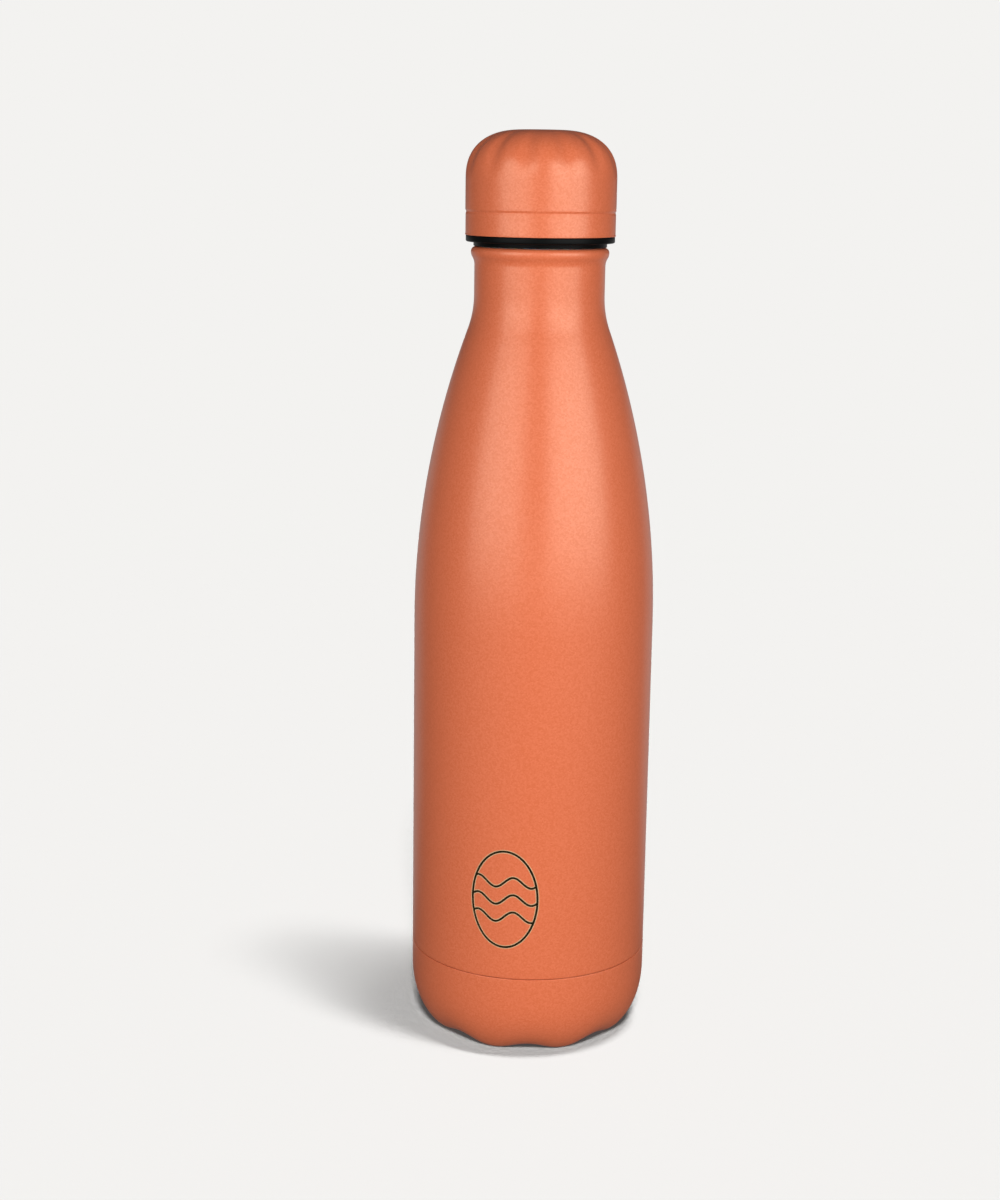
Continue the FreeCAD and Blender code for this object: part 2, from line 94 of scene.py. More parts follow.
def smooth_step(low: float, high: float, value: float) -> float:
    """A soft rise from 0 at low to 1 at high."""
    share = min(max((value - low) / (high - low), 0.0), 1.0)
    return share * share * (3 - 2 * share)


def rounded(corners: list[tuple[float, ...]], steps: int = 6) -> list[Station]:
    """Rounds the corners of a closed cross-section.

    Args:
        corners: (radius, height) for a sharp point, or (radius, height, rounding).
        steps: how many parts each rounding is made of.

    Returns:
        The stations in order, with an arc in place of each rounded corner.
    """
    made: list[Station] = []
    count = len(corners)
    for index, corner in enumerate(corners):
        here = Vector(corner[:2])
        if len(corner) < 3 or corner[2] <= 0:
            made.append(Station(here.x, here.y))
            continue
        back = (Vector(corners[index - 1][:2]) - here).normalized()
        ahead = (Vector(corners[(index + 1) % count][:2]) - here).normalized()
        half = back.angle(ahead) / 2
        reach = corner[2] / math.tan(half)
        centre = here + (back + ahead).normalized() * (corner[2] / math.sin(half))
        start = here + back * reach - centre
        sweep = (here + ahead * reach - centre).angle_signed(start)
        for step in range(steps + 1):
            turned = start.copy()
            turned.rotate(Matrix.Rotation(sweep * step / steps, 2))
            made.append(Station(*(centre + turned)))
    return made


def arc(centre: tuple[float, float], radius: float, first: float, last: float, steps: int) -> list[Station]:
    """Stations along an arc.

    Args:
        centre: radius and height of the arc's centre.
        radius: radius of the arc.
        first: angle of the first station, in degrees from outwards, towards up.
        last: angle of the last station.
        steps: how many parts the arc is made of.

    Returns:
        The stations, ends included.
    """
    made = []
    for step in range(steps + 1):
        angle = math.radians(first + (last - first) * step / steps)
        made.append(
            Station(centre[0] + radius * math.cos(angle), centre[1] + radius * math.sin(angle))
        )
    return made


def straight(start: tuple[float, float], end: tuple[float, float], steps: int) -> list[Station]:
    """Evenly spaced stations on a straight stretch, both ends included."""
    return [
        Station(
            start[0] + (end[0] - start[0]) * step / steps,
            start[1] + (end[1] - start[1]) * step / steps,
        )
        for step in range(steps + 1)
    ]


def no_relief(station: Station, angle: float) -> tuple[float, float]:
    """Leaves a turned surface as it is."""
    return 0.0, 0.0


def mesh_object(name: str, points: list[Vector], faces: list[tuple[int, ...]]) -> bpy.types.Object:
    """Makes a smooth-shaded mesh object from points in millimetres, facing outwards."""
    mesh = bpy.data.meshes.new(name)
    mesh.from_pydata([point * MM for point in points], [], faces)
    mesh.validate()
    piece = bpy.data.objects.new(name, mesh)
    bpy.context.scene.collection.objects.link(piece)
    mesh.shade_smooth()
    return piece


def lathe(name: str, section: list[Station], relief: Relief = no_relief) -> bpy.types.Object:
    """Turns a closed cross-section about the bottle's axis.

    Args:
        name: the piece's name.
        section: the cross-section, anticlockwise with the axis on the left. Stations on the
            axis become one point each.
        relief: how far out and up a point moves at an angle round the axis.

    Returns:
        The new object, a closed skin of quads.
    """
    points: list[Vector] = []
    rings: list[list[int]] = []
    for station in section:
        if station.r < 1e-6:
            rings.append([len(points)] * SEGMENTS)
            points.append(Vector((0, 0, station.z)))
            continue
        rings.append(list(range(len(points), len(points) + SEGMENTS)))
        for segment in range(SEGMENTS):
            angle = FULL_TURN * segment / SEGMENTS
            out, up = relief(station, angle)
            r = station.r + out
            points.append(Vector((r * math.cos(angle), r * math.sin(angle), station.z + up)))
    faces = []
    for index, ring in enumerate(rings):
        following = rings[(index + 1) % len(rings)]
        for segment in range(SEGMENTS):
            side = (segment + 1) % SEGMENTS
            corners = (ring[segment], ring[side], following[side], following[segment])
            kept = tuple(dict.fromkeys(corners))
            if len(kept) > 2:
                faces.append(kept)
    return mesh_object(name, points, faces)


def edge_smooth(piece: bpy.types.Object, degrees: float = 40.0) -> None:
    """Keeps edges sharper than an angle crisp."""
    piece.data.set_sharp_from_angle(angle=math.radians(degrees))


# ---------------------------------------------------------------- finishes


class Bench:
    """Lays out the nodes of one material."""

    def __init__(self, name: str) -> None:
        """Starts a new material with an empty node tree."""
        self.material = bpy.data.materials.new(name)
        self.material.use_nodes = True
        self.tree = self.material.node_tree
        self.tree.nodes.clear()
        self.output = self.tree.nodes.new("ShaderNodeOutputMaterial")
        self.shader = self.tree.nodes.new("ShaderNodeBsdfPrincipled")
        self.link(self.shader.outputs["BSDF"], self.output.inputs["Surface"])
        self.place = self.node("ShaderNodeTexCoord").outputs["Object"]

    def node(self, kind: str, **settings: object) -> bpy.types.Node:
        """Adds a node and sets its properties."""
        made = self.tree.nodes.new(kind)
        for key, value in settings.items():
            setattr(made, key, value)
        return made

    def link(self, start: bpy.types.NodeSocket, end: bpy.types.NodeSocket) -> None:
        """Joins an output to an input."""
        self.tree.links.new(start, end)

    def fix(self, **values: object) -> None:
        """Sets values that are the same all over on the shader's own sockets."""
        for key, value in values.items():
            self.shader.inputs[key.replace("_", " ")].default_value = value

    def noise(self, scale: float, detail: float = 2.0, stretch: tuple[float, float, float] | None = None
              ) -> bpy.types.NodeSocket:
        """A noise pattern.

        Args:
            scale: how many waves fit in a metre.
            detail: how many finer layers it has.
            stretch: scale along each axis, for a drawn-out grain.

        Returns:
            The pattern's strength.
        """
        made = self.node("ShaderNodeTexNoise")
        made.inputs["Scale"].default_value = scale
        made.inputs["Detail"].default_value = detail
        source = self.place
        if stretch:
            mapping = self.node("ShaderNodeMapping")
            mapping.inputs["Scale"].default_value = stretch
            self.link(self.place, mapping.inputs["Vector"])
            source = mapping.outputs["Vector"]
        self.link(source, made.inputs["Vector"])
        return made.outputs["Fac"]

    def cells(self, scale: float) -> bpy.types.NodeSocket:
        """A random grey for each small cell, as of flakes in a paint."""
        made = self.node("ShaderNodeTexVoronoi")
        made.inputs["Scale"].default_value = scale
        self.link(self.place, made.inputs["Vector"])
        split = self.node("ShaderNodeSeparateColor")
        self.link(made.outputs["Color"], split.inputs["Color"])
        return split.outputs["Red"]

    def span(self, value: bpy.types.NodeSocket, low: float, high: float) -> bpy.types.NodeSocket:
        """Maps 0 to 1 onto low to high."""
        made = self.node("ShaderNodeMapRange")
        made.inputs["To Min"].default_value = low
        made.inputs["To Max"].default_value = high
        self.link(value, made.inputs["Value"])
        return made.outputs["Result"]

    def blend(self, share: bpy.types.NodeSocket, first: tuple, second: tuple) -> bpy.types.NodeSocket:
        """Mixes two colours by a pattern."""
        made = self.node("ShaderNodeMix", data_type="RGBA")
        made.inputs["A"].default_value = (*first, 1)
        made.inputs["B"].default_value = (*second, 1)
        self.link(share, made.inputs["Factor"])
        return made.outputs["Result"]

    def bump(self, *heights: tuple[bpy.types.NodeSocket, float, float]) -> None:
        """Stacks bump layers, each a pattern, its depth in metres and its strength."""
        normal = None
        for height, depth, strength in heights:
            made = self.node("ShaderNodeBump")
            made.inputs["Distance"].default_value = depth
            made.inputs["Strength"].default_value = strength
            self.link(height, made.inputs["Height"])
            if normal is not None:
                self.link(normal, made.inputs["Normal"])
            normal = made.outputs["Normal"]
        self.link(normal, self.shader.inputs["Normal"])


@dataclass(frozen=True)
class SatinPaint:
    """Satin copper lacquer with pearl flakes over powder-coated steel."""

    light: tuple[float, float, float] = (0.665, 0.160, 0.071)
    deep: tuple[float, float, float] = (0.600, 0.132, 0.052)
    gloss_tint: tuple[float, float, float] = (1.0, 0.80, 0.62)
    flakes_per_metre: float = 2300.0
    dust_per_metre: float = 2000.0
    orange_peel_per_metre: float = 900.0

    def material(self) -> bpy.types.Material:
        """Builds the paint."""
        bench = Bench("satin_copper_paint")
        flakes = bench.cells(self.flakes_per_metre)
        dust = bench.noise(self.dust_per_metre, 2.0)
        mottle = bench.noise(self.orange_peel_per_metre, 3.0)
        tone = bench.node("ShaderNodeMath", operation="MULTIPLY_ADD")
        bench.link(flakes, tone.inputs[0])
        tone.inputs[1].default_value = 0.7
        bench.link(bench.span(mottle, 0.0, 0.3), tone.inputs[2])
        bench.link(bench.blend(tone.outputs[0], self.deep, self.light), bench.shader.inputs["Base Color"])
        bench.link(bench.span(mottle, 0.28, 0.38), bench.shader.inputs["Roughness"])
        bench.link(bench.span(flakes, 0.80, 1.20), bench.shader.inputs["Specular IOR Level"])
        bench.fix(Metallic=0.0, IOR=1.5, Specular_Tint=(*self.gloss_tint, 1))
        bench.bump((mottle, 0.00003, 0.5), (dust, 0.00001, 0.5))
        return bench.material


@dataclass(frozen=True)
class BrushedSteel:
    """Stainless sheet with a fine turned grain."""

    name: str = "brushed_steel"
    light: tuple[float, float, float] = (0.66, 0.65, 0.63)
    deep: tuple[float, float, float] = (0.50, 0.49, 0.48)

    def material(self) -> bpy.types.Material:
        """Builds the steel."""
        bench = Bench(self.name)
        grain = bench.noise(300.0, 4.0, (0.3, 0.3, 18.0))
        stain = bench.noise(45.0, 3.0)
        bench.link(bench.blend(stain, self.deep, self.light), bench.shader.inputs["Base Color"])
        bench.link(bench.span(grain, 0.18, 0.42), bench.shader.inputs["Roughness"])
        bench.fix(Metallic=1.0)
        bench.bump((grain, 0.00001, 0.4))
        return bench.material


@dataclass(frozen=True)
class MouldedPlastic:
    """Black moulded polypropylene with a fine spark-eroded grain."""

    light: tuple[float, float, float] = (0.004, 0.005, 0.005)
    deep: tuple[float, float, float] = (0.002, 0.002, 0.002)

    def material(self) -> bpy.types.Material:
        """Builds the plastic."""
        bench = Bench("black_plastic")
        grain = bench.noise(4200.0, 3.0)
        cloud = bench.noise(160.0, 2.0)
        bench.link(bench.blend(cloud, self.deep, self.light), bench.shader.inputs["Base Color"])
        bench.link(bench.span(grain, 0.30, 0.45), bench.shader.inputs["Roughness"])
        bench.fix(Specular_IOR_Level=0.08)
        bench.bump((grain, 0.00002, 0.5))
        return bench.material


@dataclass(frozen=True)
class Silicone:
    """Milky silicone rubber that lets a little light in."""

    light: tuple[float, float, float] = (0.74, 0.74, 0.70)
    deep: tuple[float, float, float] = (0.58, 0.58, 0.55)

    def material(self) -> bpy.types.Material:
        """Builds the silicone."""
        bench = Bench("milky_silicone")
        dust = bench.noise(1500.0, 3.0)
        bench.link(bench.blend(dust, self.deep, self.light), bench.shader.inputs["Base Color"])
        bench.link(bench.span(dust, 0.35, 0.55), bench.shader.inputs["Roughness"])
        bench.fix(Subsurface_Weight=0.4, Subsurface_Scale=0.002, Transmission_Weight=0.15)
        bench.bump((dust, 0.00002, 0.3))
        return bench.material


@dataclass(frozen=True)
class CopperFoil:
    """Thin bright copper foil with small creases."""

    light: tuple[float, float, float] = (0.93, 0.45, 0.27)
    deep: tuple[float, float, float] = (0.70, 0.28, 0.15)

    def material(self) -> bpy.types.Material:
        """Builds the foil."""
        bench = Bench("copper_foil")
        crease = bench.noise(110.0, 5.0)
        bench.link(bench.blend(crease, self.deep, self.light), bench.shader.inputs["Base Color"])
        bench.link(bench.span(crease, 0.12, 0.35), bench.shader.inputs["Roughness"])
        bench.fix(Metallic=1.0)
        bench.bump((crease, 0.0003, 0.7))
        return bench.material


@dataclass(frozen=True)
class Powder:
    """A dull pressed or foamed material with a visible grain."""

    name: str
    light: tuple[float, float, float]
    deep: tuple[float, float, float]
    grains_per_metre: float
    metallic: float = 0.0

    def material(self) -> bpy.types.Material:
        """Builds the grainy material."""
        bench = Bench(self.name)
        grains = bench.cells(self.grains_per_metre)
        bench.link(bench.blend(grains, self.deep, self.light), bench.shader.inputs["Base Color"])
        bench.link(bench.span(grains, 0.6, 0.85), bench.shader.inputs["Roughness"])
        bench.fix(Metallic=self.metallic)
        bench.bump((grains, 0.00006, 0.6))
        return bench.material


# ---------------------------------------------------------------- the bottle


@dataclass
class BottleShell:
    """The painted outer wall: straight body, long shoulder, neck and rolled bead."""

    wall: float = 0.5
    shoulder_start: float = 124.25
    shoulder_radius: float = 247.0
    sweep_radius: float = 28.2
    neck_radius: float = 18.57
    bead_radius: float = 1.4
    bead_flank: float = 3.0
    bead_stand: float = 1.03
    bead_fillet: float = 4.2
    mouth_radius: float = 16.9
    base_wall: float = 0.6
    seam_height: float = 25.0
    edge_round: float = 0.22
    side_steps: int = 40
    body_radius: float = field(init=False)
    rim: float = field(init=False)
    joggle_end: float = field(init=False)

    def __post_init__(self) -> None:
        """Takes the overall sizes from the frame."""
        low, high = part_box("outer_shell")
        self.body_radius = high.x / MM
        self.rim = high.z / MM
        self.joggle_end = low.z / MM

    def shoulder(self, inset: float) -> list[Station]:
        """The two arcs of the shoulder from body to neck, an inset inside the paint."""
        sweep = self.shoulder_radius + self.sweep_radius
        lean = math.acos(1 - (self.body_radius - self.neck_radius) / sweep)
        degrees = math.degrees(lean)
        convex = self.shoulder_radius - inset
        concave = self.sweep_radius + inset
        body_centre = (self.body_radius - self.shoulder_radius, self.shoulder_start)
        neck_z = self.shoulder_start + sweep * math.sin(lean)
        neck_centre = (self.neck_radius + self.sweep_radius, neck_z)
        outer = arc(body_centre, convex, 0, degrees, 60)
        inner = arc(neck_centre, concave, 180 + degrees, 180, 24)
        return outer + inner[1:]

    def section(self) -> list[Station]:
        """The wall's cross-section, anticlockwise from the seam."""
        joggle = self.body_radius - self.base_wall
        lip = self.neck_radius + self.bead_stand - self.bead_radius
        bead_z = self.rim - self.bead_radius
        flank = self.neck_radius + self.bead_stand - self.bead_flank
        run_r = self.neck_radius + self.bead_fillet
        foot = math.degrees(math.acos((run_r - flank) / (self.bead_flank + self.bead_fillet)))
        run_z = bead_z - (run_r - flank) * math.tan(math.radians(foot))
        below = rounded([
            (joggle - self.wall, self.joggle_end),
            (joggle, self.joggle_end),
            (joggle, self.seam_height, 0.05),
            (self.body_radius, self.seam_height, self.edge_round),
            (self.body_radius, self.seam_height + 2),
        ])
        outer_radius, inner_radius = self.body_radius, self.body_radius - self.wall
        outside = straight(
            (outer_radius, self.seam_height + 3), (outer_radius, self.shoulder_start), self.side_steps
        )
        run = arc((run_r, run_z), self.bead_fillet, 180, 180 - foot, 10)
        bead = arc((flank, bead_z), self.bead_flank, -foot, 0, 10)
        bead += arc((lip, bead_z), self.bead_radius, 0, 90, 16)[1:]
        inner_bead = arc((lip, bead_z), self.bead_radius - self.wall, 90, 0, 10)
        inner_bead += arc((flank, bead_z), self.bead_flank - self.wall, 0, -foot, 6)[1:]
        inner_run = arc((run_r, run_z), self.bead_fillet + self.wall, 180 - foot, 180, 10)
        inside = straight(
            (inner_radius, self.shoulder_start - 2),
            (inner_radius, self.seam_height + self.wall),
            self.side_steps // 2,
        )
        return [
            *below,
            *outside[:-1],
            *self.shoulder(0),
            *run[:-1],
            *bead,
            Station(self.mouth_radius, self.rim),
            Station(self.mouth_radius, self.rim - self.wall),
            *inner_bead[:-1],
            *inner_run,
            *reversed(self.shoulder(self.wall)),
            *inside,
            Station(joggle - self.wall, self.seam_height + self.wall),
        ]

    def build(self, paint: bpy.types.Material) -> bpy.types.Object:
        """Turns and paints the shell."""
        piece = lathe("bottle_shell", self.section())
        piece.data.materials.append(paint)
        edge_smooth(piece)
        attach(piece, Body.BOTTLE.value)
        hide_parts("outer_shell")
        return piece


@dataclass
class PetalBase:
    """The lobed cup pressed over the shell's lower end."""

    wall: float = 0.6
    corner_height: float = 19.45
    stand_radius: float = 27.25
    out_power: float = 1.6
    up_power: float = 0.74
    flutes: int = 8
    flute_depth: float = 2.6
    flute_lift: float = 1.0
    fade: float = 1.85
    sharpness: float = 1.2
    dish_radius: float = 20.5
    dish_depth: float = 2.5
    dish_reach: float = 3.0
    dish_steps: int = 12
    dish_rings: tuple[float, ...] = (14.0, 10.0, 6.0, 2.5, 0.0)
    edge_round: float = 0.22
    steps: int = 40
    body_radius: float = field(init=False)
    top: float = field(init=False)

    def __post_init__(self) -> None:
        """Takes the overall sizes from the frame."""
        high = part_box("base_cup")[1]
        self.body_radius = high.x / MM
        self.top = high.z / MM

    def corner(self, inset: float) -> list[Station]:
        """The rounded corner from the straight side down to the standing ring."""
        made = []
        for step in range(self.steps + 1):
            angle = math.pi / 4 * (1 - math.cos(math.pi * step / self.steps))
            out = (self.body_radius - self.stand_radius) * math.cos(angle) ** self.out_power
            up = (self.corner_height - inset) * (1 - math.sin(angle) ** self.up_power)
            press = (angle / (math.pi / 2)) ** self.fade
            made.append(Station(self.stand_radius - inset + out, inset + up, press))
        return made

    def underside(self, inset: float) -> list[Station]:
        """The raised middle, from the standing ring in to the axis."""
        run = self.stand_radius - inset - self.dish_radius
        made = []
        for step in range(1, self.dish_steps + 1):
            share = step / self.dish_steps
            rise = self.dish_depth * smooth_step(0.25, 1.0, share)
            radius = self.stand_radius - inset - share * (run + self.dish_reach)
            made.append(Station(radius, inset + rise, 1 - smooth_step(0.1, 0.9, share)))
        last = made[-1]
        for radius in self.dish_rings:
            made.append(Station(radius, last.z))
        return made

    def relief(self, station: Station, angle: float) -> tuple[float, float]:
        """How far a flute pushes a point in and up."""
        wave = (0.5 + 0.5 * math.cos(self.flutes * angle)) ** self.sharpness
        return -self.flute_depth * station.press * wave, self.flute_lift * station.press * wave

    def section(self) -> list[Station]:
        """The cup's cross-section, anticlockwise from the middle of its underside."""
        inner_radius = self.body_radius - self.wall
        edge = rounded([
            (self.body_radius, self.corner_height + 3),
            (self.body_radius, self.top, self.edge_round),
            (inner_radius, self.top, 0.1),
            (inner_radius, self.corner_height + 3),
        ])
        outer = self.corner(0) + self.underside(0)
        inner = self.corner(self.wall) + self.underside(self.wall)
        return [*reversed(outer), *edge, *inner]

    def build(self, paint: bpy.types.Material) -> bpy.types.Object:
        """Presses and paints the cup."""
        piece = lathe("petal_base", self.section(), self.relief)
        piece.data.materials.append(paint)
        edge_smooth(piece)
        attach(piece, Body.BOTTLE.value)
        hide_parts("base_cup")
        return piece


# ---------------------------------------------------------------- the cap


@dataclass
class DomeCap:
    """The painted dome with a fine step line and soft creases round its crown."""

    wall: float = 0.5
    step_rise: float = 6.5
    step_depth: float = 0.09
    groove_depth: float = 0.18
    groove_height: float = 0.6
    hem_height: float = 0.45
    skirt_height: float = 15.63
    skirt_steps: int = 6
    crown_flat_radius: float = 5.1
    crown_power: float = 0.84
    creases: int = 12
    crease_turn: float = 18.0
    crease_depth: float = 0.85
    sharpness: float = 2.0
    steps: int = 48
    radius: float = field(init=False)
    low: float = field(init=False)
    top: float = field(init=False)

    def __post_init__(self) -> None:
        """Takes the overall sizes from the frame."""
        low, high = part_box("cap_dome")
        self.radius = high.x / MM
        self.low = low.z / MM
        self.top = high.z / MM

    def crown(self, inset: float) -> list[Station]:
        """The crown from the straight side up to its flat middle."""
        start = self.low + self.skirt_height
        rise = self.top - start - inset
        flat = self.crown_flat_radius - inset
        made = []
        for step in range(self.steps + 1):
            angle = math.pi / 4 * (1 - math.cos(math.pi * step / self.steps))
            out = (self.radius - inset - flat) * math.cos(angle) ** self.crown_power
            up = rise * math.sin(angle) ** self.crown_power
            made.append(Station(flat + out, start + up, math.sin(2 * angle)))
        return made + [Station(flat * 0.5, self.top - inset), Station(0.0, self.top - inset)]

    def relief(self, station: Station, angle: float) -> tuple[float, float]:
        """How far a crease pushes a point in."""
        wave = 0.5 + 0.5 * math.cos(self.creases * (angle - math.radians(self.crease_turn)))
        return -self.crease_depth * station.press * wave**self.sharpness, 0.0

    def section(self) -> list[Station]:
        """The dome's cross-section, anticlockwise from its lower inner edge."""
        step = self.low + self.step_rise
        lower = self.radius - self.step_depth
        inner = lower - self.wall
        edge = rounded([
            (inner, self.low, 0.1),
            (self.radius, self.low, 0.1),
            (self.radius, self.low + self.hem_height / 2, 0.15),
            (lower, self.low + self.hem_height, 0.1),
            (lower, step - self.groove_height, 0.5),
            (lower - self.groove_depth, step, 0.2),
            (self.radius, step + self.groove_height, 0.3),
            (self.radius, step + 1.5),
        ], 4)
        skirt_top = self.low + self.skirt_height - 0.6
        side = straight((self.radius, step + 2), (self.radius, skirt_top), self.skirt_steps)
        inset = self.radius - inner
        return [*edge, *side, *self.crown(0), *reversed(self.crown(inset)), Station(inner, step)]

    def build(self, paint: bpy.types.Material) -> bpy.types.Object:
        """Presses and paints the dome."""
        piece = lathe("cap_dome_shell", self.section(), self.relief)
        piece.data.materials.append(paint)
        edge_smooth(piece)
        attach(piece, Body.CAP.value)
        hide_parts("cap_dome")
        return piece


@dataclass
class Stopper:
    """The black threaded stopper whose flange carries the dome."""

    core: float = 15.2
    wall: float = 2.0
    length: float = 25.5
    rim_gap: float = 0.15
    seal_top: float = 1.6
    seat_radius: float = 18.5
    band_radius: float = 18.9
    band_height: float = 1.2
    flange_radius: float = 21.1
    flange_thickness: float = 1.7
    collar_radius: float = 20.65
    collar_height: float = 8.3
    collar_wall: float = 1.8
    web: float = 1.8
    deck_rise: float = 10.3
    deck_wall: float = 2.0
    pitch: float = 4.0
    turns: float = 2.0
    thread_depth: float = 12.3
    thread_height: float = 0.9
    thread_root: float = 1.4
    thread_crest: float = 0.8
    rows: int = 84
    rim: float = field(init=False)

    def __post_init__(self) -> None:
        """Takes the rim's height from the frame."""
        self.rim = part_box("outer_shell")[1].z / MM

    def relief(self, station: Station, angle: float) -> tuple[float, float]:
        """How far the thread's ridge stands out of the stopper's side."""
        if station.press == 0:
            return 0.0, 0.0
        start = self.rim - self.thread_depth + self.pitch / 2
        nearest = round((station.z - start) / self.pitch - angle / FULL_TURN)
        out = 0.0
        for turn in (nearest - 1, nearest, nearest + 1):
            along = turn + angle / FULL_TURN
            if not 0 <= along <= self.turns:
                continue
            away = abs(station.z - start - along * self.pitch)
            flank = 1 - smooth_step(self.thread_crest / 2, self.thread_root / 2, away)
            ends = min(smooth_step(0, 0.05, along), smooth_step(0, 0.05, self.turns - along))
            out = max(out, self.thread_height * flank * ends)
        return out, 0.0

    def section(self) -> list[Station]:
        """The stopper's cross-section, anticlockwise from its lower inner edge."""
        bottom = self.rim - self.length
        band_low = self.rim + self.rim_gap
        flange_low = band_low + self.band_height
        flange_top = flange_low + self.flange_thickness
        collar_top = flange_top + self.collar_height
        deck = flange_top + self.deck_rise
        bore = self.core - self.wall
        thread_low = self.rim - self.thread_depth + self.pitch / 2 - self.thread_root
        thread_high = thread_low + self.pitch * self.turns + 2 * self.thread_root
        side = [
            Station(s.r, s.z, 1.0)
            for s in straight((self.core, thread_low), (self.core, thread_high), self.rows)
        ]
        above = rounded([
            (self.core, self.rim + self.seal_top, 0.2),
            (self.seat_radius, self.rim + self.seal_top, 0.2),
            (self.seat_radius, band_low, 0.1),
            (self.band_radius, band_low, 0.15),
            (self.band_radius, flange_low, 0.15),
            (self.flange_radius, flange_low, 0.45),
            (self.flange_radius, flange_top, 0.12),
            (self.collar_radius, flange_top, 0.05),
            (self.collar_radius, collar_top, 0.3),
            (self.collar_radius - self.collar_wall, collar_top, 0.3),
            (self.collar_radius - self.collar_wall, flange_top + self.web, 0.3),
            (self.core, flange_top + self.web, 0.3),
            (self.core, deck, 0.4),
            (0.0, deck),
            (0.0, deck - self.deck_wall),
            (bore, deck - self.deck_wall, 0.3),
            (bore, bottom),
            (self.core, bottom, 0.2),
        ])
        return [*side, *above]

    def build(self, plastic: bpy.types.Material) -> bpy.types.Object:
        """Moulds the stopper."""
        piece = lathe("threaded_stopper", self.section(), self.relief)
        piece.data.materials.append(plastic)
        edge_smooth(piece)
        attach(piece, Body.CAP.value)
        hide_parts("cap_plug")
        return piece


@dataclass
class SealRing:
    """The silicone ring between stopper and rim, its edge tucked in under the black band."""

    round_edge: float = 0.35
    tuck: float = 0.5
    inner: float = 15.6
    outer: float = field(init=False)
    low: float = field(init=False)
    high: float = field(init=False)

    def __post_init__(self) -> None:
        """Takes the ring's sizes from the frame."""
        low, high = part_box("cap_seal")
        self.outer = high.x / MM - self.tuck
        self.low = low.z / MM
        self.high = high.z / MM

    def build(self, silicone: bpy.types.Material) -> bpy.types.Object:
        """Moulds the ring."""
        section = rounded([
            (self.inner, self.low, self.round_edge),
            (self.outer, self.low, self.round_edge),
            (self.outer, self.high, self.round_edge),
            (self.inner, self.high, self.round_edge),
        ])
        piece = lathe("silicone_seal", section)
        piece.data.materials.append(silicone)
        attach(piece, Body.SEAL.value)
        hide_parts("cap_seal")
        return piece


# ---------------------------------------------------------------- the mark


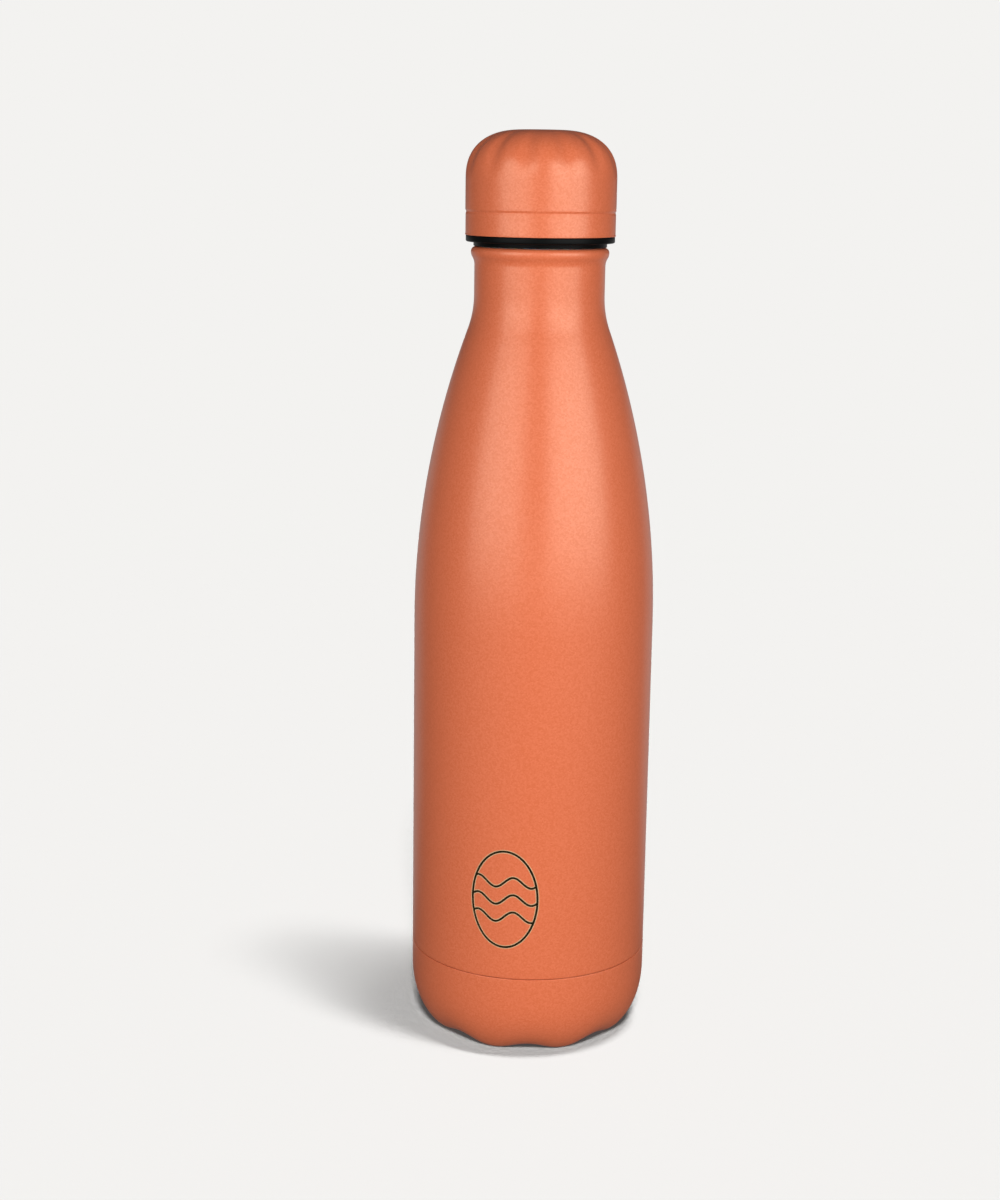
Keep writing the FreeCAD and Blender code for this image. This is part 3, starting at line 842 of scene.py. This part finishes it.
@dataclass
class FrontMark:
    """A small etched sign low on the front: an upright oval with three waves in it."""

    body_radius: float
    centre_height: float = 49.0
    centre_turn: float = -12.4
    half_width: float = 9.6
    half_height: float = 14.4
    line: float = 0.62
    waves: int = 3
    wave_height: float = 1.5
    wave_gap: float = 5.2
    sunk: float = 0.05
    edge_band: float = 0.40
    edge_stand: float = 0.006
    line_stand: float = 0.011

    def on_body(self, across: float, up: float, stand: float) -> Vector:
        """A point of the flat drawing wrapped round the body."""
        angle = math.radians(self.centre_turn) + across / self.body_radius
        r = self.body_radius + stand
        return Vector((r * math.sin(angle), -r * math.cos(angle), self.centre_height + up))

    def oval(self) -> list[Vector]:
        """The closed outline of the sign."""
        count = 120
        return [
            Vector((self.half_width * math.cos(a), self.half_height * math.sin(a)))
            for a in (FULL_TURN * step / count for step in range(count))
        ]

    def wave_at(self, up: float, across: float) -> float:
        """Height of a wave line at a place across the sign."""
        return up + self.wave_height * math.sin(math.pi * across / self.wave_gap)

    def meeting(self, up: float, side: int) -> float:
        """Where a wave line meets the oval, to the left (-1) or right (1)."""
        across = side * self.half_width
        for _ in range(20):
            level = self.wave_at(up, across) / self.half_height
            across = side * self.half_width * math.sqrt(1 - level**2)
        return across

    def wave(self, up: float) -> list[Vector]:
        """One wave line across the sign, from oval to oval."""
        left, right = self.meeting(up, -1), self.meeting(up, 1)
        count = 60
        places = [left + (right - left) * step / count for step in range(count + 1)]
        return [Vector((across, self.wave_at(up, across))) for across in places]

    def ribbon(self, path: list[Vector], closed: bool, width: float, stand: float
               ) -> tuple[list[Vector], list[tuple[int, ...]]]:
        """A thin closed strip along a path of the drawing.

        Args:
            path: the middle of the line.
            closed: whether the last point joins the first.
            width: width of the line.
            stand: how far its top stands off the paint.

        Returns:
            The strip's points on the body, and its faces.
        """
        count = len(path)
        points: list[Vector] = []
        for index, middle in enumerate(path):
            before = path[index - 1] if closed or index > 0 else middle
            after = path[(index + 1) % count] if closed or index < count - 1 else middle
            along = (after - before).normalized()
            across = Vector((-along.y, along.x)) * (width / 2)
            for sign, height in ((1, stand), (-1, stand), (-1, -self.sunk), (1, -self.sunk)):
                place = middle + across * sign
                points.append(self.on_body(place.x, place.y, height))
        faces: list[tuple[int, ...]] = []
        for index in range(count if closed else count - 1):
            here, there = 4 * index, 4 * ((index + 1) % count)
            for corner in range(4):
                side = (corner + 1) % 4
                faces.append((here + corner, here + side, there + side, there + corner))
        if not closed:
            last = 4 * (count - 1)
            faces.append((3, 2, 1, 0))
            faces.append((last, last + 1, last + 2, last + 3))
        return points, faces

    def draw(self, name: str, width: float, stand: float, finish: bpy.types.Material) -> bpy.types.Object:
        """Draws the whole sign with one line width."""
        points: list[Vector] = []
        faces: list[tuple[int, ...]] = []
        levels = [self.wave_gap * (step - (self.waves - 1) / 2) for step in range(self.waves)]
        lines = [(self.oval(), True)] + [(self.wave(level), False) for level in levels]
        for path, closed in lines:
            more, strip = self.ribbon(path, closed, width, stand)
            faces += [tuple(corner + len(points) for corner in face) for face in strip]
            points += more
        piece = mesh_object(name, points, faces)
        piece.data.materials.append(finish)
        edge_smooth(piece)
        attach(piece, Body.BOTTLE.value)
        return piece

    def build(self, edge: bpy.types.Material, line: bpy.types.Material) -> list[bpy.types.Object]:
        """Draws the pale edge of the etching and the dark line in it."""
        return [
            self.draw("mark_edge", self.line + self.edge_band, self.edge_stand, edge),
            self.draw("mark_line", self.line, self.line_stand, line),
        ]


# ---------------------------------------------------------------- the carried-over pieces


@dataclass
class HiddenPieces:
    """The CAD pieces inside the walls, which keep their shape and get their finish."""

    finishes: dict[str, bpy.types.Material]

    def dress(self) -> list[bpy.types.Object]:
        """Gives each carried-over node its material."""
        dressed = []
        for node, finish in self.finishes.items():
            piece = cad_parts[node]
            piece.data.materials.clear()
            piece.data.materials.append(finish)
            dressed.append(piece)
        return dressed


# ---------------------------------------------------------------- the studio


@dataclass(frozen=True)
class SoftBox:
    """One upright soft box that stands round the bottle.

    turn is its angle from the front, to the right where it is positive; low, high and width are
    in metres, and glow is the brightness of its face.
    """

    name: str
    turn: float
    low: float
    high: float
    width: float
    glow: float
    shines: bool = True
    mirrored: bool = True


SOFT_BOXES = (
    SoftBox("left_box", -40, 0.08, 0.92, 0.95, 2.4),
    SoftBox("right_box", 43, 0.08, 0.92, 1.15, 2.95),
    SoftBox("front_fill", 0, 0.0, 0.22, 0.6, 12.6, mirrored=False),
    SoftBox("back_box", 180, -0.4, 0.22, 2.1, 0.4, shines=False),
    SoftBox("rear_fill", 180, 0.0, 0.30, 0.6, 16.0, mirrored=False),
)


@dataclass
class Studio:
    """A pale floor and backdrop, soft boxes all round and the camera."""

    floor_radius: float = 9.0
    lit_radius: float = 0.5
    fade_radius: float = 1.4
    paper: tuple[float, float, float] = (0.896, 0.888, 0.871)
    floor_tone: float = 0.12
    key_share: float = 0.50
    front_share: float = 0.42
    room_light: float = 0.09
    box_distance: float = 1.0
    key_turn: float = 57.0
    key_rises: tuple[int, ...] = (71, 74, 77, 80, 83)
    key_softness: float = 6.0
    front_rise: float = 42.0
    front_softness: float = 8.0
    lens: float = 59.9
    camera_place: tuple[float, float, float] = (-0.00992, -0.5732, 0.2542)
    camera_dip: float = 12.31
    camera_roll: float = 0.83

    def floor(self) -> bpy.types.Object:
        """The flat pale floor."""
        corners = [(-1, -1), (1, -1), (1, 1), (-1, 1)]
        points = [Vector((x, y, 0)) * self.floor_radius / MM for x, y in corners]
        piece = mesh_object("pale_floor", points, [(0, 1, 2, 3)])
        piece.data.materials.append(self.floor_paper())
        return self.off_the_object(piece)

    def backdrop(self) -> bpy.types.Object:
        """An even pale wall all round, beyond the floor."""
        reach, top = self.floor_radius * 0.98, self.floor_radius
        count = 64
        points = []
        for height in (-0.5, top):
            for step in range(count):
                angle = FULL_TURN * step / count
                points.append(Vector((reach * math.cos(angle), reach * math.sin(angle), height)) / MM)
        faces = [(i, (i + 1) % count, count + (i + 1) % count, count + i) for i in range(count)]
        faces.append(tuple(range(count, 2 * count)))
        piece = mesh_object("pale_backdrop", points, faces)
        bench = Bench("backdrop_glow")
        bench.fix(Base_Color=(0, 0, 0, 1), Specular_IOR_Level=0.0, Roughness=1.0)
        bench.fix(Emission_Color=(*self.paper, 1), Emission_Strength=1.0)
        piece.data.materials.append(bench.material)
        piece.visible_shadow = False
        return self.off_the_object(piece)

    def off_the_object(self, piece: bpy.types.Object) -> bpy.types.Object:
        """Keeps a stage piece's own brightness off the bottle."""
        piece.visible_diffuse = False
        piece.visible_glossy = False
        return piece

    def floor_paper(self) -> bpy.types.Material:
        """Matt pale paper that takes a soft shadow near the bottle and is even further out."""
        bench = Bench("pale_paper")
        away = bench.node("ShaderNodeVectorMath", operation="LENGTH")
        bench.link(bench.place, away.inputs[0])
        far = bench.node("ShaderNodeMapRange", interpolation_type="SMOOTHSTEP")
        far.inputs["From Min"].default_value = self.lit_radius
        far.inputs["From Max"].default_value = self.fade_radius
        bench.link(away.outputs["Value"], far.inputs["Value"])
        tone = tuple(self.floor_tone * part for part in self.paper)
        bench.link(bench.blend(far.outputs["Result"], tone, (0, 0, 0)), bench.shader.inputs["Base Color"])
        glow = 1 - self.key_share - self.front_share - self.floor_tone * self.room_light
        bench.link(bench.span(far.outputs["Result"], glow, 1.0), bench.shader.inputs["Emission Strength"])
        bench.fix(Roughness=1.0, Specular_IOR_Level=0.0, Emission_Color=(*self.paper, 1))
        return bench.material

    def around(self, turn: float, distance: float, height: float) -> Vector:
        """A place at an angle from the front, to the right where it is positive."""
        angle = math.radians(turn)
        return Vector((distance * math.sin(angle), -distance * math.cos(angle), height))

    def hang(self, lamp: bpy.types.Light, place: Vector, target: Vector) -> bpy.types.Object:
        """Hangs a lamp at a place, facing a target."""
        made = bpy.data.objects.new(lamp.name, lamp)
        made.location = place
        made.rotation_mode = "QUATERNION"
        made.rotation_quaternion = (target - place).to_track_quat("-Z", "Y")
        made.visible_camera = False
        bpy.context.scene.collection.objects.link(made)
        return made

    def soft_box(self, box: SoftBox) -> bpy.types.Object:
        """Stands one soft box round the bottle."""
        lamp = bpy.data.lights.new(box.name, "AREA")
        lamp.shape = "RECTANGLE"
        lamp.size, lamp.size_y = box.width, box.high - box.low
        lamp.energy = box.glow * math.pi * lamp.size * lamp.size_y
        middle = (box.low + box.high) / 2
        made = self.hang(lamp, self.around(box.turn, self.box_distance, middle), Vector((0, 0, middle)))
        made.visible_diffuse = box.shines
        made.visible_glossy = box.mirrored
        return made

    def share(self, lamp: bpy.types.Object, piece: bpy.types.Object, state: str) -> None:
        """Lets a lamp light only a piece (INCLUDE), or everything else (EXCLUDE)."""
        group = bpy.data.collections.new(f"{lamp.name}_group")
        group.objects.link(piece)
        lamp.light_linking.receiver_collection = group
        group.collection_objects[0].light_linking.link_state = state

    def floor_sun(self, name: str, turn: float, rise: float, softness: float, share: float,
                  floor: bpy.types.Object) -> None:
        """Adds a soft sun that lights only the floor.

        Args:
            name: the light's name.
            turn: its angle from the front, to the right where it is positive.
            rise: its height above the horizon, in degrees.
            softness: how wide it is in the sky, in degrees.
            share: how much of the paper's brightness comes from it.
            floor: the floor.
        """
        up = math.radians(rise)
        lamp = bpy.data.lights.new(name, "SUN")
        lamp.energy = share * math.pi / (self.floor_tone * math.sin(up))
        lamp.angle = math.radians(softness)
        place = self.around(turn, math.cos(up), math.sin(up))
        self.share(self.hang(lamp, place, Vector((0, 0, 0))), floor, "INCLUDE")

    def lights(self, floor: bpy.types.Object) -> None:
        """Wide boxes for the bottle, and a strip of soft suns for its shadow on the floor."""
        for box in SOFT_BOXES:
            self.share(self.soft_box(box), floor, "EXCLUDE")
        share = self.key_share / len(self.key_rises)
        for rise in self.key_rises:
            self.floor_sun(f"shadow_key_{rise}", self.key_turn, rise, self.key_softness, share, floor)
        self.floor_sun("front_key", 0, self.front_rise, self.front_softness, self.front_share, floor)

    def world(self) -> None:
        """A little even light from all round."""
        world = bpy.data.worlds.new("soft_room")
        world.use_nodes = True
        background = world.node_tree.nodes["Background"]
        background.inputs["Color"].default_value = (1.0, 0.99, 0.975, 1)
        background.inputs["Strength"].default_value = self.room_light
        bpy.context.scene.world = world

    def camera(self) -> bpy.types.Object:
        """Sets the camera a little above the rim, looking down at the bottle."""
        lens = bpy.data.cameras.new("camera")
        lens.lens = self.lens
        lens.sensor_width = 36.0
        lens.clip_start = 0.05
        made = bpy.data.objects.new("camera", lens)
        tilt = Matrix.Rotation(math.radians(90 - self.camera_dip), 4, "X")
        roll = Matrix.Rotation(math.radians(self.camera_roll), 4, "Z")
        made.matrix_world = Matrix.Translation(self.camera_place) @ tilt @ roll
        bpy.context.scene.collection.objects.link(made)
        bpy.context.scene.camera = made
        return made

    def build(self) -> None:
        """Sets up the whole studio."""
        floor = self.floor()
        self.backdrop()
        self.world()
        self.lights(floor)
        self.camera()
        bpy.context.scene.view_settings.view_transform = "Standard"


def main() -> None:
    """Builds the bottle and the studio in order and reports each piece."""
    logging.basicConfig(level=logging.INFO, format="%(message)s")
    paint = SatinPaint().material()
    steel = BrushedSteel().material()
    plastic = MouldedPlastic().material()
    silicone = Silicone().material()
    foil = CopperFoil().material()
    glass = Powder("glass_solder", (0.30, 0.33, 0.29), (0.20, 0.22, 0.19), 2500.0).material()
    getter = Powder("getter_powder", (0.20, 0.20, 0.21), (0.12, 0.12, 0.13), 5000.0, 0.6).material()
    foam = Powder("white_foam", (0.80, 0.78, 0.70), (0.66, 0.64, 0.56), 1400.0).material()
    etched = BrushedSteel("etched_line", (0.120, 0.098, 0.050), (0.080, 0.066, 0.034)).material()
    primer = Powder("etched_edge", (0.62, 0.40, 0.22), (0.52, 0.32, 0.17), 4000.0).material()

    shell = BottleShell()
    pieces = [
        shell.build(paint),
        PetalBase().build(paint),
        DomeCap().build(paint),
        Stopper().build(plastic),
        SealRing().build(silicone),
        *FrontMark(shell.body_radius).build(primer, etched),
    ]
    pieces += HiddenPieces({
        "inner_flask": steel,
        "inner_flask_bottom": steel,
        "vacuum_bottom": steel,
        "getter_clip": steel,
        "sealing_bead": glass,
        "copper_foil": foil,
        "getter_tablet": getter,
        "plug_end_cap": plastic,
        "cap_foam": foam,
    }).dress()
    for piece in pieces:
        log.info("%s: %d faces", piece.name, len(piece.data.polygons))
    Studio().build()


if __name__ == "__main__":
    main()
